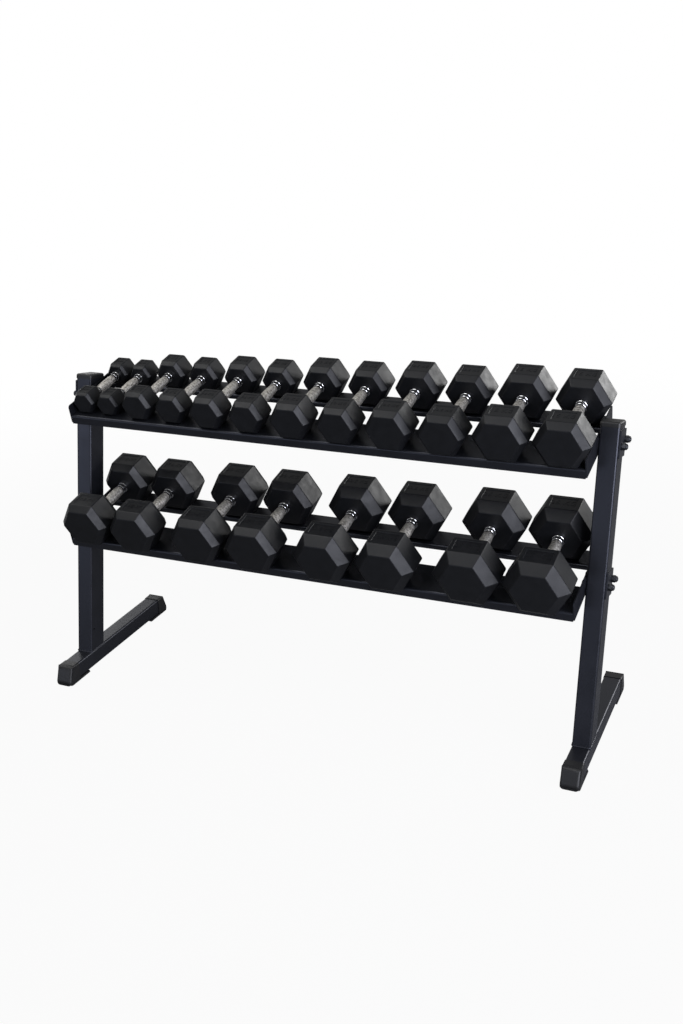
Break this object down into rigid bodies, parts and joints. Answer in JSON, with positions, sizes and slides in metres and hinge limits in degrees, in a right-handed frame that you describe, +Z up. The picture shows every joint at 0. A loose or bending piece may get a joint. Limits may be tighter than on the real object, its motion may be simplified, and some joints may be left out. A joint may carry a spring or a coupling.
{
  "type": "dumbbell rack",
  "caption": "Tiered free-standing steel rack with leaning tube uprights and sloped folded-sheet trays, loaded with hexagonal rubber dumbbells in graded sizes.",
  "frame": {"origin": "on the floor, in the middle of the rack's footprint", "axes": "X along the rack with the small dumbbells at -X, Y from the front to the back, Z up"},
  "size_m": [1.64, 0.57, 0.9888],
  "materials": {
    "black_paint": "satin black powder coat",
    "black_plastic": "matt moulded black",
    "dark_zinc": "dark zinc plated",
    "black_rubber": "satin moulded rubber",
    "chrome": "polished chrome with a knurled grip"
  },
  "bodies": {
    "rack": {"left_foot": "black_paint", "right_foot": "black_paint", "left_upright": "black_paint", "right_upright": "black_paint", "upright_caps": "black_plastic", "front_foot_caps": "black_plastic", "rear_foot_caps": "black_plastic", "upper_front_rail": "black_paint", "upper_rear_rail": "black_paint", "lower_front_rail": "black_paint", "lower_rear_rail": "black_paint", "upper_left_end_plate": "black_paint", "upper_right_end_plate": "black_paint", "lower_left_end_plate": "black_paint", "lower_right_end_plate": "black_paint", "spacer_pads": "black_paint", "backing_plates": "black_paint", "bolts": "dark_zinc", "washers": "dark_zinc", "nuts": "dark_zinc"},
    "upper_dumbbell_1": {"upper_heads_1": "black_rubber", "upper_handle_1": "chrome"},
    "upper_dumbbell_2": {"upper_heads_2": "black_rubber", "upper_handle_2": "chrome"},
    "upper_dumbbell_3": {"upper_heads_3": "black_rubber", "upper_handle_3": "chrome"},
    "upper_dumbbell_4": {"upper_heads_4": "black_rubber", "upper_handle_4": "chrome"},
    "upper_dumbbell_5": {"upper_heads_5": "black_rubber", "upper_handle_5": "chrome"},
    "upper_dumbbell_6": {"upper_heads_6": "black_rubber", "upper_handle_6": "chrome"},
    "upper_dumbbell_7": {"upper_heads_7": "black_rubber", "upper_handle_7": "chrome"},
    "upper_dumbbell_8": {"upper_heads_8": "black_rubber", "upper_handle_8": "chrome"},
    "upper_dumbbell_9": {"upper_heads_9": "black_rubber", "upper_handle_9": "chrome"},
    "upper_dumbbell_10": {"upper_heads_10": "black_rubber", "upper_handle_10": "chrome"},
    "upper_dumbbell_11": {"upper_heads_11": "black_rubber", "upper_handle_11": "chrome"},
    "upper_dumbbell_12": {"upper_heads_12": "black_rubber", "upper_handle_12": "chrome"},
    "lower_dumbbell_1": {"lower_heads_1": "black_rubber", "lower_handle_1": "chrome"},
    "lower_dumbbell_2": {"lower_heads_2": "black_rubber", "lower_handle_2": "chrome"},
    "lower_dumbbell_3": {"lower_heads_3": "black_rubber", "lower_handle_3": "chrome"},
    "lower_dumbbell_4": {"lower_heads_4": "black_rubber", "lower_handle_4": "chrome"},
    "lower_dumbbell_5": {"lower_heads_5": "black_rubber", "lower_handle_5": "chrome"},
    "lower_dumbbell_6": {"lower_heads_6": "black_rubber", "lower_handle_6": "chrome"},
    "lower_dumbbell_7": {"lower_heads_7": "black_rubber", "lower_handle_7": "chrome"},
    "lower_dumbbell_8": {"lower_heads_8": "black_rubber", "lower_handle_8": "chrome"}
  },
  "joints": [
    {"name": "lift_upper_1", "type": "slide", "parent": "rack", "child": "upper_dumbbell_1", "axis": [0, -0.1908, 0.9816], "range_m": [0, 0.17]},
    {"name": "lift_upper_2", "type": "slide", "parent": "rack", "child": "upper_dumbbell_2", "axis": [0, -0.1908, 0.9816], "range_m": [0, 0.17]},
    {"name": "lift_upper_3", "type": "slide", "parent": "rack", "child": "upper_dumbbell_3", "axis": [0, -0.1908, 0.9816], "range_m": [0, 0.17]},
    {"name": "lift_upper_4", "type": "slide", "parent": "rack", "child": "upper_dumbbell_4", "axis": [0, -0.1908, 0.9816], "range_m": [0, 0.17]},
    {"name": "lift_upper_5", "type": "slide", "parent": "rack", "child": "upper_dumbbell_5", "axis": [0, -0.1908, 0.9816], "range_m": [0, 0.17]},
    {"name": "lift_upper_6", "type": "slide", "parent": "rack", "child": "upper_dumbbell_6", "axis": [0, -0.1908, 0.9816], "range_m": [0, 0.17]},
    {"name": "lift_upper_7", "type": "slide", "parent": "rack", "child": "upper_dumbbell_7", "axis": [0, -0.1908, 0.9816], "range_m": [0, 0.17]},
    {"name": "lift_upper_8", "type": "slide", "parent": "rack", "child": "upper_dumbbell_8", "axis": [0, -0.1908, 0.9816], "range_m": [0, 0.17]},
    {"name": "lift_upper_9", "type": "slide", "parent": "rack", "child": "upper_dumbbell_9", "axis": [0, -0.1908, 0.9816], "range_m": [0, 0.17]},
    {"name": "lift_upper_10", "type": "slide", "parent": "rack", "child": "upper_dumbbell_10", "axis": [0, -0.1908, 0.9816], "range_m": [0, 0.17]},
    {"name": "lift_upper_11", "type": "slide", "parent": "rack", "child": "upper_dumbbell_11", "axis": [0, -0.1908, 0.9816], "range_m": [0, 0.17]},
    {"name": "lift_upper_12", "type": "slide", "parent": "rack", "child": "upper_dumbbell_12", "axis": [0, -0.1908, 0.9816], "range_m": [0, 0.17]},
    {"name": "lift_lower_1", "type": "slide", "parent": "rack", "child": "lower_dumbbell_1", "axis": [0, -0.9455, 0.3256], "range_m": [0, 0.42]},
    {"name": "lift_lower_2", "type": "slide", "parent": "rack", "child": "lower_dumbbell_2", "axis": [0, -0.9455, 0.3256], "range_m": [0, 0.42]},
    {"name": "lift_lower_3", "type": "slide", "parent": "rack", "child": "lower_dumbbell_3", "axis": [0, -0.9455, 0.3256], "range_m": [0, 0.42]},
    {"name": "lift_lower_4", "type": "slide", "parent": "rack", "child": "lower_dumbbell_4", "axis": [0, -0.9455, 0.3256], "range_m": [0, 0.42]},
    {"name": "lift_lower_5", "type": "slide", "parent": "rack", "child": "lower_dumbbell_5", "axis": [0, -0.9455, 0.3256], "range_m": [0, 0.42]},
    {"name": "lift_lower_6", "type": "slide", "parent": "rack", "child": "lower_dumbbell_6", "axis": [0, -0.9455, 0.3256], "range_m": [0, 0.42]},
    {"name": "lift_lower_7", "type": "slide", "parent": "rack", "child": "lower_dumbbell_7", "axis": [0, -0.9455, 0.3256], "range_m": [0, 0.42]},
    {"name": "lift_lower_8", "type": "slide", "parent": "rack", "child": "lower_dumbbell_8", "axis": [0, -0.9455, 0.3256], "range_m": [0, 0.42]}
  ]
}
